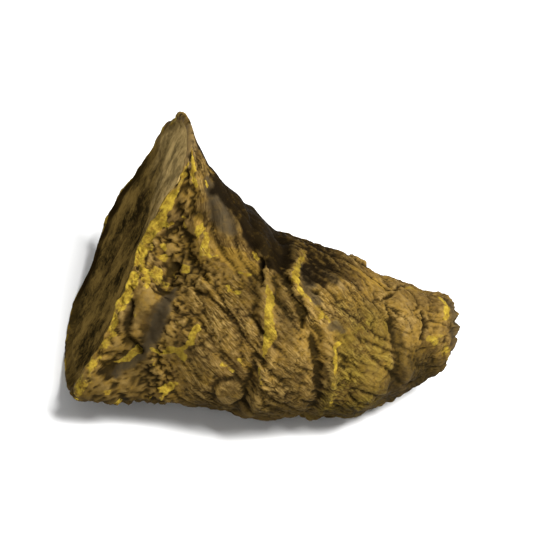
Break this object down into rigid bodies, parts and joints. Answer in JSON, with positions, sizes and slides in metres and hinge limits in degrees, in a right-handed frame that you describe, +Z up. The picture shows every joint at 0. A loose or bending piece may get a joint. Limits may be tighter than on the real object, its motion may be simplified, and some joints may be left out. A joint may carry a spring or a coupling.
{
  "type": "wild turmeric root",
  "caption": "Dried chunk of wild turmeric rhizome, cut across at its thick end and tapering to a blunt ringed tip, lying on its side.",
  "frame": {"origin": "middle of the bounding box, on the surface that the root lies on", "axes": "+X from the cut end to the growing tip, +Y to the back, +Z up"},
  "size_m": [0.05, 0.0414, 0.0306],
  "materials": {
    "bark": "dry, wrinkled, matt"
  },
  "bodies": {
    "root": {"turmeric_root": "bark"}
  },
  "joints": []
}
